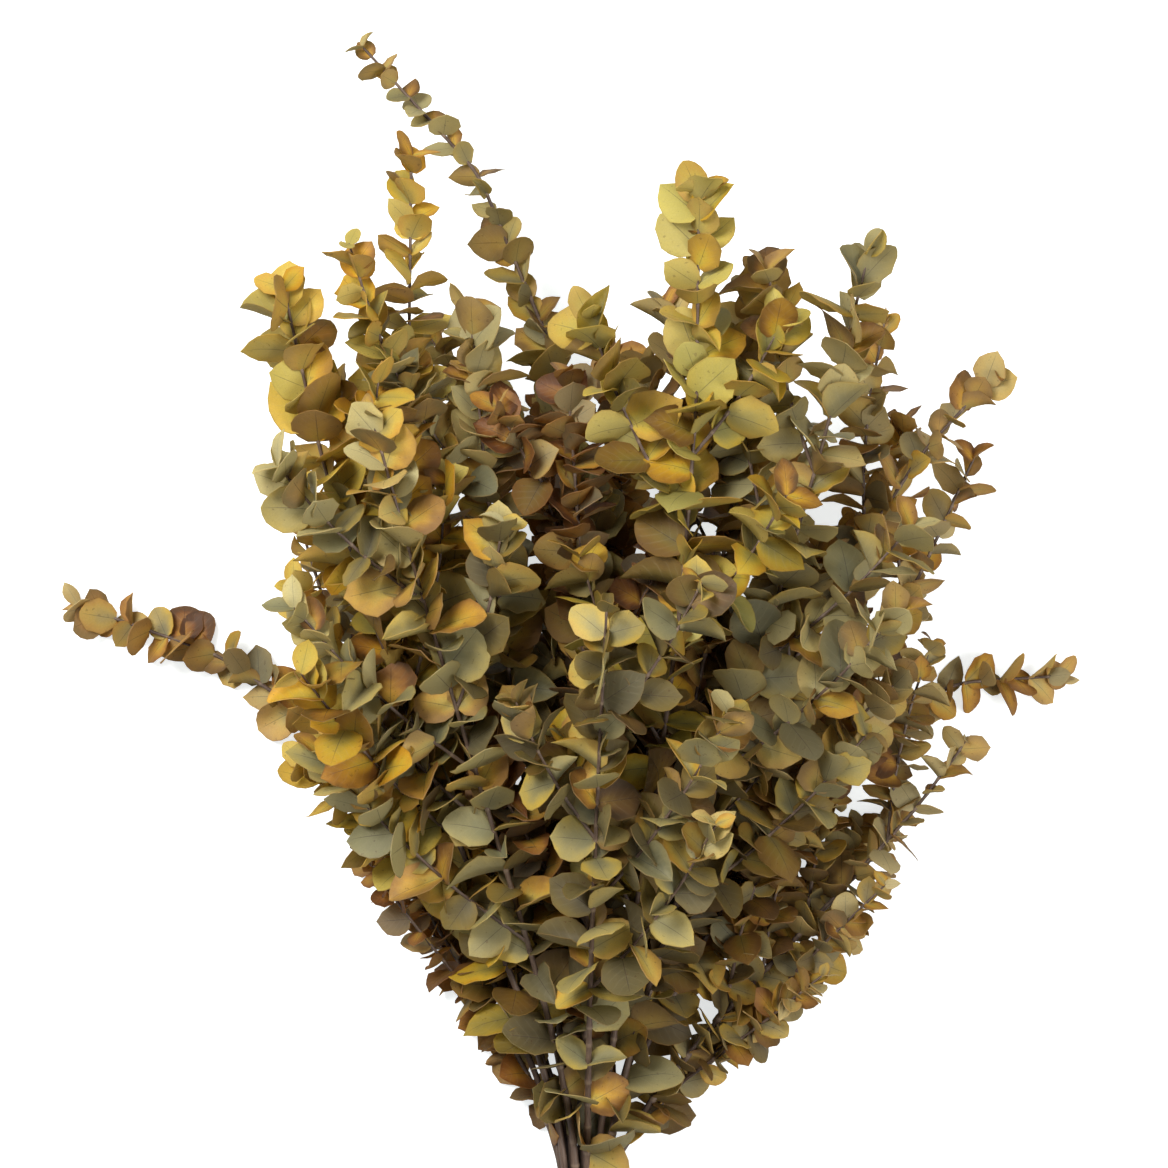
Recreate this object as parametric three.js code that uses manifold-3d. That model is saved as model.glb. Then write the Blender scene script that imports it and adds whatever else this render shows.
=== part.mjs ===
// A bunch of dried eucalyptus, lying on a flat surface with its stems held by an elastic band.
// Millimetres. +Z is up, z = 0 is the surface, and the stems run along +Y from their cut ends.
// The origin is the middle of the bunch's outline, on the surface.
//
// Twenty cut stems leave the band side by side and spread into a fan, four layers deep. Each grows
// side twigs, and stem and twigs carry opposite pairs of round leaves, a quarter turn from pair to
// pair. All of the bunch's leaves are grown here by one seeded rule, so that none lies through
// another. The solids show an even share of them, at true size, fused to the stem they grow from.

import * as THREE from "three";
import Module from "manifold-3d";

const wasm = await Module();
wasm.setup();

// ---------------------------------------------------------------- driving dimensions

// The bundle: six-sided stems packed like a honeycomb where the band holds them.
const STEM_RADII = [2.9, 0.9]; // at the cut end and at the tip, out to a corner
const STEM_GAP = 0.3; // between neighbours in the bundle
const COLUMNS = 5;
const STEM_SIDES = 6;
const BUNDLE_X = 12;
const BAND_Y = -332; // middle of the band
const STRAIGHT = 9; // how far past its middle the stems run straight
const TAIL = 52; // cut end below the middle of the band
const TAIL_STAGGER = 9; // the cut ends aren't level
const RISE = 0.19; // share of a stem's reach over which it runs on with the others above the band

// The elastic band, wound four times.
const BAND_STRANDS = 4;
const BAND_STRAND_WIDTH = 2.2;
const BAND_THICKNESS = 1.5;
const BAND_GROOVE = 0.6; // how deep and how wide the grooves between strands are
const BAND_GAP = 0.3; // to the stems
const BAND_SIDES = 16;

// Layers of the fan: the height of a stem's tip, from the surface upwards.
const LAYER_TIP_Z = [12, 80, 146, 206];
const LAYER_DROOP = 0.14; // how much lower a tip is for each 200 mm it stands to one side
const LEAN_HEIGHT = 0.66; // share of the tip's height that a stem has where it leans out

// Twigs and leaves.
const TWIG_RADII = [1.3, 0.7];
const TWIG_SIDES = 3;
const TWIG_CLEAR = 9; // between points sampled on two twigs or stems
const LOWEST_WOOD = 5;
const HIGHEST_WOOD = 226;
const BLADE_THICKNESS = 0.8;
const BLADE_GAP = 0.3; // between the leaves and stems of two different stems
const NECK_WIDTH = 1.2; // of the leaf's short stalk, just outside the wood
const NECK_THICKNESS = 1;
const ROOT_VOLUME = 2; // cubic mm: more than a leaf's root shares with what it grows from
const SHOWN_SHARE = 0.05; // share of the grown leaves that the solids show

const MIDDLE = [3.3, -4.8]; // of the bunch's outline, in the measures of the tables below
const SEED = 4100;
const UP = new THREE.Vector3(0, 0, 1);

// The leaf's outline: share of its length from the root, and of its width from the midrib.
const BLADE_OUTLINE = [
  [0.24, 0.49],
  [0.76, 0.46],
];
const ARCH = 0.12; // how far a leaf's tip bends down, as a share of its length
const PRESS = 0.25; // how far under the surface a leaf would reach unpressed, at most, by the same share

// Each cut stem: its column and layer in the bundle, the point that it leans out through, its tip,
// its leaves' length low down and at the tip, its twigs, and where its leaves begin above the band.
const STEMS = [
  {
    name: "stem_lower_left", column: 0, layer: 0, lean: [-44, -188], tip: [-128, -106],
    leaf: [24, 14], twigs: 2, bare: 50, colour: 0xb06a24,
  },
  {
    name: "stem_far_left", column: 1, layer: 0, lean: [-84, -3], tip: [-298, 42],
    leaf: [33, 21], twigs: 2, bare: 100, colour: 0xad7a35,
  },
  {
    name: "stem_under", column: 2, layer: 0, lean: [-4, -74], tip: [-10, 168],
    leaf: [29, 21], twigs: 4, bare: 44, colour: 0x8c5a28,
  },
  {
    name: "stem_far_right", column: 3, layer: 0, lean: [155, 29], tip: [302, -1],
    leaf: [30, 18], twigs: 3, bare: 110, colour: 0xa06a30,
  },
  {
    name: "stem_low_right", column: 4, layer: 0, lean: [120, -208], tip: [176, -158],
    leaf: [25, 16], twigs: 3, bare: 46, colour: 0xa88a52,
  },
  {
    name: "stem_left", column: 0, layer: 1, lean: [-113, -94], tip: [-162, 106],
    leaf: [28, 18], twigs: 4, bare: 110, colour: 0x9a7a3c,
  },
  {
    name: "stem_long_tip", column: 1, layer: 1, lean: [74, 240], tip: [-120, 374],
    leaf: [30, 15], twigs: 3, bare: 130, colour: 0x8a7440,
  },
  {
    name: "stem_back", column: 2, layer: 1, lean: [45, -50], tip: [30, 194],
    leaf: [29, 23], twigs: 4, bare: 100, colour: 0x8a5626,
  },
  {
    name: "stem_amber", column: 3, layer: 1, lean: [186, -24], tip: [244, 130],
    leaf: [28, 19], twigs: 4, bare: 120, colour: 0xa8752c,
  },
  {
    name: "stem_lower_right", column: 4, layer: 1, lean: [186, -128], tip: [240, -38],
    leaf: [26, 17], twigs: 4, bare: 56, colour: 0xa38248,
  },
  {
    name: "stem_yellow_left", column: 0, layer: 2, lean: [-112, -10], tip: [-88, 302],
    leaf: [30, 23], twigs: 5, bare: 130, colour: 0xc39a36,
  },
  {
    name: "stem_olive_left", column: 1, layer: 2, lean: [-36, -38], tip: [-54, 212],
    leaf: [31, 26], twigs: 5, bare: 46, colour: 0x77703f,
  },
  {
    name: "stem_rust", column: 2, layer: 2, lean: [21, -38], tip: [2, 174],
    leaf: [29, 23], twigs: 5, bare: 40, colour: 0x995e24,
  },
  {
    name: "stem_tan_top", column: 3, layer: 2, lean: [98, -14], tip: [112, 232],
    leaf: [31, 27], twigs: 5, bare: 52, colour: 0x97733c,
  },
  {
    name: "stem_tan_right", column: 4, layer: 2, lean: [162, 106], tip: [252, 178],
    leaf: [28, 20], twigs: 4, bare: 120, colour: 0xa1823f,
  },
  {
    name: "stem_gold", column: 0, layer: 3, lean: [-124, -2], tip: [-158, 222],
    leaf: [33, 30], twigs: 5, bare: 110, colour: 0xbb8e36,
  },
  {
    name: "stem_pale_left", column: 1, layer: 3, lean: [-51, -74], tip: [-108, 150],
    leaf: [33, 28], twigs: 5, bare: 26, colour: 0x97925a,
  },
  {
    name: "stem_sage", column: 2, layer: 3, lean: [15, -134], tip: [24, 40],
    leaf: [32, 26], twigs: 4, bare: 20, colour: 0x8b8a57,
  },
  {
    name: "stem_lemon", column: 3, layer: 3, lean: [84, -14], tip: [76, 276],
    leaf: [33, 28], twigs: 5, bare: 90, colour: 0xc0a03c,
  },
  {
    name: "stem_olive_right", column: 4, layer: 3, lean: [126, -2], tip: [172, 242],
    leaf: [33, 29], twigs: 5, bare: 32, colour: 0x8f8a4c,
  },
];

// The fan's outline, which its twigs keep inside: a height along +Y, and the left and right edges.
const OUTLINE = [
  [-270, -22, 76],
  [-200, -60, 150],
  [-122, -112, 196],
  [-50, -160, 236],
  [30, -160, 240],
  [84, -156, 236],
  [118, -160, 206],
  [150, -166, 214],
  [172, -172, 240],
  [215, -166, 190],
  [250, -120, 170],
];


// ---------------------------------------------------------------- the rule that grows the bunch

/** A repeatable stream of numbers from 0 to 1. */
function seededDraws(seed) {
  let state = seed;
  const next = () => {
    state = (state * 16807) % 2147483647;
    return state / 2147483647;
  };
  for (let i = 0; i < 5; i++) next();
  return next;
}

const mix = (a, b, share) => a + (b - a) * share;

/** A path through the air: its points, and how far along it each lies. */
function pathThrough(points) {
  const reached = [0];
  for (let i = 1; i < points.length; i++) {
    reached.push(reached[i - 1] + points[i].distanceTo(points[i - 1]));
  }
  return { points, reached, length: reached[reached.length - 1] };
}

/** The point and direction at a distance along a path. */
function along(path, distance) {
  let i = 1;
  while (i < path.points.length - 1 && path.reached[i] < distance) i++;
  const step = path.reached[i] - path.reached[i - 1];
  const share = (distance - path.reached[i - 1]) / step;
  const way = path.points[i].clone().sub(path.points[i - 1]).divideScalar(step);
  return { point: path.points[i - 1].clone().lerp(path.points[i], share), way };
}

/** A Bezier curve of any number of control points, by repeated blending. */
function curve(controls, steps) {
  const points = [];
  for (let i = 0; i <= steps; i++) {
    let row = controls;
    while (row.length > 1) {
      row = row.slice(1).map((p, k) => row[k].clone().lerp(p, i / steps));
    }
    points.push(row[0]);
  }
  return points;
}

const PITCH = 2 * STEM_RADII[0] * Math.cos(Math.PI / 6) + STEM_GAP;
const LOWEST_STEM_Z = BAND_THICKNESS + BAND_GAP + STEM_RADII[0];

/** Where a stem stands in the honeycomb of the bundle. */
function placeInBundle(column, layer) {
  const shift = column - (COLUMNS - 1) / 2 + (layer % 2) / 2 - 0.25;
  return [BUNDLE_X + shift * PITCH, LOWEST_STEM_Z + layer * PITCH * Math.sin(Math.PI / 3)];
}

const STEM_STEPS = 7;
const TWIG_STEPS = 3;

/** The path of a cut stem above the band. */
function stemPath(stem) {
  const [x, z] = placeInBundle(stem.column, stem.layer);
  const tipZ = LAYER_TIP_Z[stem.layer] * (1 - LAYER_DROOP * (stem.tip[0] / 200) ** 2);
  const start = new THREE.Vector3(x, BAND_Y + STRAIGHT, z);
  const tip = new THREE.Vector3(...stem.tip, tipZ);
  const rise = new THREE.Vector3(x, start.y + RISE * start.distanceTo(tip), mix(z, tipZ, 0.06));
  const lean = new THREE.Vector3(...stem.lean, tipZ * LEAN_HEIGHT);
  return pathThrough(curve([start, rise, lean, tip], STEM_STEPS));
}

const TWIG_TRIES = 24;
const TWIG_SPREAD = 0.66; // radians between a twig and its stem
const FIRST_TWIG = 0.3;
const LAST_TWIG = 0.86; // shares of the stem's length

/** Whether a point lies inside the fan's outline, seen from above. */
function inOutline({ x, y }) {
  const i = OUTLINE.findIndex((row) => row[0] > y);
  if (i < 1) return false;
  const [low, high] = [OUTLINE[i - 1], OUTLINE[i]];
  const share = (y - low[0]) / (high[0] - low[0]);
  return x > mix(low[1], high[1], share) && x < mix(low[2], high[2], share);
}

/** How near a path comes to points already taken by wood. Where it leaves its own stem doesn't count. */
function nearest(path, taken, owner) {
  let least = Infinity;
  for (let s = 0; s <= path.length; s += 6) {
    const { point } = along(path, s);
    for (const other of taken) {
      if (other.owner === owner && s < TWIG_CLEAR * 2.4) continue;
      least = Math.min(least, point.distanceToSquared(other.point));
    }
  }
  return Math.sqrt(least);
}

/** Marks the points of a path, from a distance along it, as taken. */
function take(path, from, owner, taken) {
  for (let s = from; s <= path.length; s += 6) taken.push({ point: along(path, s).point, owner });
}

/** The side twigs of a stem, each turned until it is clear of all other wood. */
function twigPaths(stem, path, taken, draw) {
  const twigs = [];
  for (let k = 0; k < stem.twigs; k++) {
    const share = mix(FIRST_TWIG, LAST_TWIG, (k + draw() * 0.7) / stem.twigs);
    const { point, way } = along(path, share * path.length);
    const reach = mix(185, 90, share) * mix(0.8, 1.2, draw());
    const side = way.clone().cross(UP).normalize();
    const over = side.clone().cross(way);
    let best = null;
    for (let t = 0; t < TWIG_TRIES; t++) {
      const turn = 2 * Math.PI * draw();
      const out = side.clone().multiplyScalar(Math.cos(turn)).addScaledVector(over, Math.sin(turn) * 0.8);
      const start = way
        .clone()
        .multiplyScalar(Math.cos(TWIG_SPREAD))
        .addScaledVector(out, Math.sin(TWIG_SPREAD));
      const bend = point.clone().addScaledVector(start, reach * 0.5);
      const tip = bend.clone().addScaledVector(start, reach * 0.28).addScaledVector(way, reach * 0.26);
      const candidate = pathThrough(curve([point, bend, tip], TWIG_STEPS));
      const lifted = candidate.points.every((p) => p.z > LOWEST_WOOD && p.z < HIGHEST_WOOD);
      const gap = lifted && inOutline(tip) ? nearest(candidate, taken, stem.name) : 0;
      if (!best || gap > best.gap) best = { path: candidate, gap };
      if (gap > TWIG_CLEAR * 2) break;
    }
    if (best.gap > TWIG_CLEAR) {
      twigs.push(best.path);
      take(best.path, 0, stem.name, taken);
    }
  }
  return twigs;
}

const LEAF_TRIES = 10;
const LEAF_JITTER = 1.3; // radians, all told
const LEAF_ANGLE = 1.38; // radians between a leaf and its stem
const LEAF_ANGLE_JITTER = 1;
const DISC_CENTRE = 0.52; // a leaf counts as a disc, this share of its length from its root
const DISC_RADIUS = 0.46;
const WOOD_MARGIN = 0.03; // how much wider the disc is where wood passes
const STEM_SPACING = 17; // from pair to pair, low down
const TWIG_SPACING = 13;
const TWIG_BARE = 18; // a twig's first stretch, with no leaves
const TWIG_LEAF = 0.88; // a twig's leaves, as a share of its stem's
const LOST = [0.2, 0.03]; // share of the leaves that have fallen, low down and at the tip

/** The leaf that a draw gives at a node: root, direction, face, length and width. */
function leafAt(node, draw) {
  const turn = node.turn + (draw() - 0.5) * LEAF_JITTER;
  const angle = LEAF_ANGLE * mix(1, 0.66, node.share) + (draw() - 0.5) * LEAF_ANGLE_JITTER;
  const side = node.way.clone().cross(UP).normalize();
  const over = side.clone().cross(node.way);
  const out = side.multiplyScalar(Math.cos(turn)).addScaledVector(over, Math.sin(turn));
  const way = out.multiplyScalar(Math.sin(angle)).addScaledVector(node.way, Math.cos(angle));
  // A leaf that would reach far under the surface bends up until its tip only presses on it.
  const lowest = -node.point.z / node.length - PRESS;
  if (way.z < lowest) {
    const flat = Math.sqrt((1 - lowest * lowest) / (way.x * way.x + way.y * way.y));
    way.set(way.x * flat, way.y * flat, lowest);
  }
  const facing = draw() < 0.62 ? 1 : -1;
  const turned = mix(-0.5, 1.5, draw());
  const face = node.way.clone().addScaledVector(UP, facing * turned);
  face.x += (draw() - 0.5) * 1.5;
  face.y += (draw() - 0.5) * 1.5;
  face.addScaledVector(way, -face.dot(way)).normalize();
  // Low down its rim lies flat too.
  const low = Math.max(0, 1 - (node.point.z + way.z * node.length * DISC_CENTRE) / (0.4 * node.length));
  if (low > 0) {
    face.lerp(UP.clone().multiplyScalar(facing), low);
    face.addScaledVector(way, -face.dot(way)).normalize();
  }
  const radius = DISC_RADIUS * node.length * Math.sqrt(node.width / node.length);
  const centre = node.point.clone().addScaledVector(way, DISC_CENTRE * node.length);
  return { ...node, way, face, radius, centre };
}

/** How much of a leaf's disc lies through another's, as a length. */
function crossing(a, b) {
  const apart = b.centre.clone().sub(a.centre);
  if (apart.length() >= a.radius + b.radius) return 0;
  const slant = a.face.dot(b.face);
  const sine = Math.sqrt(Math.max(1 - slant * slant, 1e-6));
  const missA = apart.dot(b.face) / sine;
  const missB = apart.dot(a.face) / sine;
  if (Math.abs(missA) >= a.radius || Math.abs(missB) >= b.radius) return 0;
  const line = a.face.clone().cross(b.face).divideScalar(sine);
  const halfA = Math.sqrt(a.radius * a.radius - missA * missA);
  const halfB = Math.sqrt(b.radius * b.radius - missB * missB);
  return Math.max(0, halfA + halfB - Math.abs(apart.dot(line)));
}

/** Whether wood runs through a leaf's disc. */
function pierced(leaf, wood) {
  for (const { from, to } of wood) {
    const start = from.clone().sub(leaf.centre);
    const end = to.clone().sub(leaf.centre);
    const a = start.dot(leaf.face);
    const b = end.dot(leaf.face);
    if (a * b > 0) continue;
    const through = start.lerp(end, a / (a - b || 1));
    if (through.length() < leaf.radius + WOOD_MARGIN * leaf.length) return true;
  }
  return false;
}

/** The nodes of a stem or twig, two to each pair of leaves, from its foot to its tip. */
function leafNodes(path, from, lengths, spacing, radii, draw) {
  const nodes = [];
  let pair = Math.floor(draw() * 4);
  for (let s = from; s < path.length - 6; ) {
    const share = (s - from) / (path.length - from);
    const { point, way } = along(path, s);
    for (const opposite of [0, Math.PI]) {
      const length = mix(...lengths, share ** 2.2) * mix(0.72, 1.18, draw());
      const width = length * mix(0.78, 1.04, draw());
      const turn = (pair * Math.PI) / 2 + opposite;
      const thick = mix(...radii, s / path.length);
      nodes.push({ point, way, share, length, width, turn, thick });
    }
    pair += 1;
    s += spacing * mix(1, 0.55, share) * mix(0.85, 1.15, draw());
  }
  // The tip ends in a pair of young leaves, half closed.
  const { point, way } = along(path, path.length - 0.5);
  for (const opposite of [0, Math.PI]) {
    const length = lengths[1] * mix(0.55, 0.9, draw());
    const turn = (pair * Math.PI) / 2 + opposite;
    const first = opposite === 0;
    nodes.push({ point, way, share: 1, length, width: length * 0.7, turn, thick: radii[1], first });
  }
  return nodes;
}

/** Grows the whole bunch: each stem's path, twigs and leaves. */
function growBunch() {
  const grown = STEMS.map((stem, i) => ({ stem, path: stemPath(stem), draw: seededDraws(SEED + 97 * i) }));
  const taken = [];
  for (const { stem, path } of grown) take(path, 60, stem.name, taken);
  for (const g of grown) g.twigs = twigPaths(g.stem, g.path, taken, g.draw);

  const wood = [];
  for (const { path, twigs } of grown) {
    for (const p of [path, ...twigs]) {
      for (let i = 1; i < p.points.length; i++) wood.push({ from: p.points[i - 1], to: p.points[i] });
    }
  }
  const placed = [];
  // The top layer, which shows best, is given its leaves first.
  for (const g of [...grown].reverse()) {
    const nodes = leafNodes(g.path, g.stem.bare, g.stem.leaf, STEM_SPACING, STEM_RADII, g.draw);
    const lengths = g.stem.leaf.map((length) => length * TWIG_LEAF);
    for (const twig of g.twigs) {
      nodes.push(...leafNodes(twig, TWIG_BARE, lengths, TWIG_SPACING, TWIG_RADII, g.draw));
    }
    g.leaves = [];
    for (const node of nodes) {
      if (g.draw() < mix(...LOST, node.share)) continue;
      let best = null;
      for (let t = 0; t < LEAF_TRIES; t++) {
        const leaf = leafAt(node, g.draw);
        let cost = pierced(leaf, wood) ? 1000 : 0;
        for (const other of placed) cost += crossing(leaf, other);
        if (!best || cost < best.cost) best = { leaf, cost };
        if (cost === 0) break;
      }
      if (best.cost < 1000) {
        placed.push(best.leaf);
        g.leaves.push(best.leaf);
      }
    }
  }
  return grown;
}

// ---------------------------------------------------------------- solids

/** A closed solid from vertices and triangles. */
function solidOf(vertices, triangles) {
  return new wasm.Manifold(
    new wasm.Mesh({
      numProp: 3,
      vertProperties: new Float32Array(vertices.flatMap((v) => [v.x, v.y, v.z])),
      triVerts: new Uint32Array(triangles.flat()),
    }),
  );
}

/** A rod of even sides along a path, thinning from one radius to another, with flat ends. */
function rod(points, radii, sides) {
  const vertices = [];
  const triangles = [];
  points.forEach((point, i) => {
    const before = points[Math.max(i - 1, 0)];
    const after = points[Math.min(i + 1, points.length - 1)];
    const way = after.clone().sub(before).normalize();
    const side = way.clone().cross(UP).normalize();
    const over = side.clone().cross(way);
    const radius = mix(...radii, i / (points.length - 1));
    for (let k = 0; k < sides; k++) {
      const turn = ((k + 0.5) * 2 * Math.PI) / sides;
      vertices.push(
        point
          .clone()
          .addScaledVector(side, radius * Math.cos(turn))
          .addScaledVector(over, radius * Math.sin(turn)),
      );
    }
  });
  for (let i = 1; i < points.length; i++) {
    for (let k = 0; k < sides; k++) {
      const a = (i - 1) * sides + k;
      const b = (i - 1) * sides + ((k + 1) % sides);
      triangles.push([a, a + sides, b], [b, a + sides, b + sides]);
    }
  }
  const last = vertices.length - sides;
  for (let k = 1; k < sides - 1; k++) {
    triangles.push([0, k, k + 1], [last, last + k + 1, last + k]);
  }
  return solidOf(vertices, triangles);
}

/** The outline, seen along the stems, of something stretched round the bundle at a distance from it. */
function roundBundle(distance) {
  const corners = STEMS.flatMap((stem) => {
    const [x, z] = placeInBundle(stem.column, stem.layer);
    return Array.from({ length: STEM_SIDES }, (_, k) => {
      const turn = ((k + 0.5) * 2 * Math.PI) / STEM_SIDES;
      return [x + STEM_RADII[0] * Math.cos(turn), z + STEM_RADII[0] * Math.sin(turn)];
    });
  });
  const step = (2 * Math.PI) / BAND_SIDES;
  const reach = Array.from({ length: BAND_SIDES }, (_, k) => {
    const [c, s] = [Math.cos(k * step), Math.sin(k * step)];
    return distance + Math.max(...corners.map(([x, z]) => x * c + z * s));
  });
  // Each corner is where one side's line meets the next.
  return reach.map((a, k) => {
    const b = reach[(k + 1) % BAND_SIDES];
    const [c, s] = [Math.cos(k * step), Math.sin(k * step)];
    const [d, t] = [Math.cos((k + 1) * step), Math.sin((k + 1) * step)];
    const scale = 1 / Math.sin(step);
    return [(a * t - b * s) * scale, (b * c - a * d) * scale];
  });
}

/** The elastic band: strands side by side, with a groove between each two. */
function elasticBand() {
  const width = BAND_STRANDS * BAND_STRAND_WIDTH;
  const inner = BAND_GAP;
  const outer = BAND_GAP + BAND_THICKNESS;
  const profile = [[-width / 2, inner]];
  for (let k = 0; k < BAND_STRANDS; k++) {
    const from = k * BAND_STRAND_WIDTH - width / 2;
    const to = from + BAND_STRAND_WIDTH;
    if (k > 0) profile.push([from, outer - BAND_GROOVE]);
    profile.push([k > 0 ? from + BAND_GROOVE / 2 : from, outer]);
    profile.push([k < BAND_STRANDS - 1 ? to - BAND_GROOVE / 2 : to, outer]);
  }
  profile.push([width / 2, inner]);
  const rings = profile.map(([y, distance]) =>
    roundBundle(distance).map(([x, z]) => new THREE.Vector3(x, BAND_Y + y, z)),
  );
  const triangles = [];
  rings.forEach((_, i) => {
    const here = i * BAND_SIDES;
    const there = ((i + 1) % rings.length) * BAND_SIDES;
    for (let k = 0; k < BAND_SIDES; k++) {
      const next = (k + 1) % BAND_SIDES;
      triangles.push([here + k, there + k, here + next], [here + next, there + k, there + next]);
    }
  });
  return solidOf(rings.flat(), triangles);
}

/** The middle of a leaf's thickness, at a share of its length and of its width from the midrib. */
function onBlade(leaf, u, v) {
  const across = leaf.face.clone().cross(leaf.way);
  return leaf.point
    .clone()
    .addScaledVector(leaf.way, u * leaf.length)
    .addScaledVector(across, v * leaf.width)
    .addScaledVector(leaf.face, -ARCH * leaf.length * u * u);
}

/** Whether a leaf's outer part lies flat on the surface. */
function liesFlat(leaf) {
  const outer = BLADE_OUTLINE[BLADE_OUTLINE.length - 1];
  const points = [onBlade(leaf, ...outer), onBlade(leaf, outer[0], -outer[1]), onBlade(leaf, 1, 0)];
  return points.every((point) => point.z < 0);
}

/** A leaf: a short stalk rooted in the wood, and a blade of two alike faces, bent along its length. */
function blade(leaf) {
  const neck = (leaf.thick * 1.5 + 1) / leaf.length;
  const neckSide = NECK_WIDTH / 2 / leaf.width;
  const outline = [[neck, neckSide], ...BLADE_OUTLINE, [1, 0]];
  const left = BLADE_OUTLINE.map(([u, v]) => [u, -v]).reverse();
  const middle = [...outline, ...left, [neck, -neckSide]].map(([u, v]) => onBlade(leaf, u, v));
  const count = middle.length;
  const sign = leaf.face.z < 0 ? -1 : 1;
  // Where it meets the surface the blade is pressed flat on it.
  const faceOf = (share) =>
    middle.map((point, i) => {
      const half = (i === 0 || i === count - 1 ? NECK_THICKNESS : BLADE_THICKNESS) / 2;
      const pressed = point.z - half * Math.abs(leaf.face.z) <= 0;
      if (pressed) return new THREE.Vector3(point.x, point.y, half + share * sign * half);
      return point.clone().addScaledVector(leaf.face, share * half);
    });
  const triangles = [];
  const cap = (a, b, c) => triangles.push([a, c, b], [count + a, count + b, count + c]);
  // From the neck to the tip, each cross-strip joins a pair of outline points to the next pair.
  const tip = BLADE_OUTLINE.length + 1;
  for (let i = 0; i < tip; i++) {
    const mirror = count - 1 - i;
    if (i === tip - 1) cap(i, tip, mirror);
    else cap(i, i + 1, mirror - 1), cap(i, mirror - 1, mirror);
  }
  for (let i = 0; i < count - 1; i++) {
    triangles.push([i, i + 1, count + i], [i + 1, count + i + 1, count + i]);
  }
  const root = 2 * count;
  triangles.push([root, count - 1, 0], [root, count, 2 * count - 1]);
  triangles.push([root, 0, count], [root, 2 * count - 1, count - 1]);
  return solidOf([...faceOf(1), ...faceOf(-1), leaf.point], triangles);
}

/** Whether two solids come closer than a gap. */
function tooNear(a, b, gap) {
  const one = a.boundingBox();
  const two = b.boundingBox();
  const apart = [0, 1, 2].some((i) => one.min[i] - gap > two.max[i] || two.min[i] - gap > one.max[i]);
  return !apart && a.minGap(b, gap) < gap;
}

const BEND_TRIES = 9;

/** The leaf turned on its root, a little further each try, this way and that. */
function bent(leaf, attempt) {
  if (attempt === 0) return leaf;
  const turn = Math.ceil(attempt / 2) * 0.16 * (attempt % 2 ? 1 : -1);
  const across = leaf.face.clone().cross(leaf.way).normalize();
  const way = leaf.way.clone().applyAxisAngle(attempt > 4 ? leaf.face : across, turn);
  const face = leaf.face.clone().addScaledVector(way, -leaf.face.dot(way)).normalize();
  return { ...leaf, way, face };
}

const bunch = new THREE.Group();
const grown = growBunch();

const woods = grown.map(({ stem, path, twigs }, i) => {
  const foot = path.points[0].clone();
  foot.y = BAND_Y - TAIL - TAIL_STAGGER * Math.sin(2.4 * i);
  let wood = rod([foot, ...path.points], STEM_RADII, STEM_SIDES);
  for (const twig of twigs) wood = wood.add(rod(twig.points, TWIG_RADII, TWIG_SIDES));
  return wood;
});

const band = elasticBand();
const bladesOf = woods.map(() => []);
grown.forEach(({ leaves }, i) => {
  leaves.forEach((leaf, k) => {
    const shown = Math.floor((k + 1) * SHOWN_SHARE) > Math.floor(k * SHOWN_SHARE);
    if (!shown && !leaf.first && !(liesFlat(leaf) && k % 2)) return;
    for (let attempt = 0; attempt < BEND_TRIES; attempt++) {
      const made = blade(bent(leaf, attempt));
      const others = [band, ...woods.filter((_, j) => j !== i), ...bladesOf.filter((_, j) => j !== i).flat()];
      const own = [woods[i], ...bladesOf[i]];
      const clear =
        !others.some((other) => tooNear(made, other, BLADE_GAP)) &&
        own.every((other) => made.intersect(other).volume() < ROOT_VOLUME);
      if (clear) {
        bladesOf[i].push(made);
        return;
      }
    }
  });
});

/** A mesh of a finished solid. */
function meshOf(solid, name, material) {
  const { numProp, vertProperties, triVerts } = solid.getMesh();
  const positions = new Float32Array((vertProperties.length / numProp) * 3);
  for (let i = 0; i < positions.length / 3; i++) {
    positions.set(vertProperties.subarray(i * numProp, i * numProp + 3), i * 3);
  }
  const geometry = new THREE.BufferGeometry();
  geometry.setAttribute("position", new THREE.BufferAttribute(positions, 3));
  geometry.setIndex(new THREE.BufferAttribute(new Uint32Array(triVerts), 1));
  geometry.translate(-MIDDLE[0], -MIDDLE[1], 0);
  geometry.computeVertexNormals();
  const mesh = new THREE.Mesh(geometry, material);
  mesh.name = name;
  return mesh;
}

grown.forEach(({ stem }, i) => {
  const whole = wasm.Manifold.union([woods[i], ...bladesOf[i]]);
  const dried = new THREE.MeshStandardMaterial({ color: stem.colour, roughness: 0.75, metalness: 0 });
  bunch.add(meshOf(whole, stem.name, dried));
});
const elastic = new THREE.MeshStandardMaterial({ color: 0x9b7d4f, roughness: 0.6, metalness: 0 });
bunch.add(meshOf(band, "band", elastic));

export default bunch;
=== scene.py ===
"""A bunch of dried eucalyptus, lying on a pale sheet and seen from straight above."""

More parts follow.
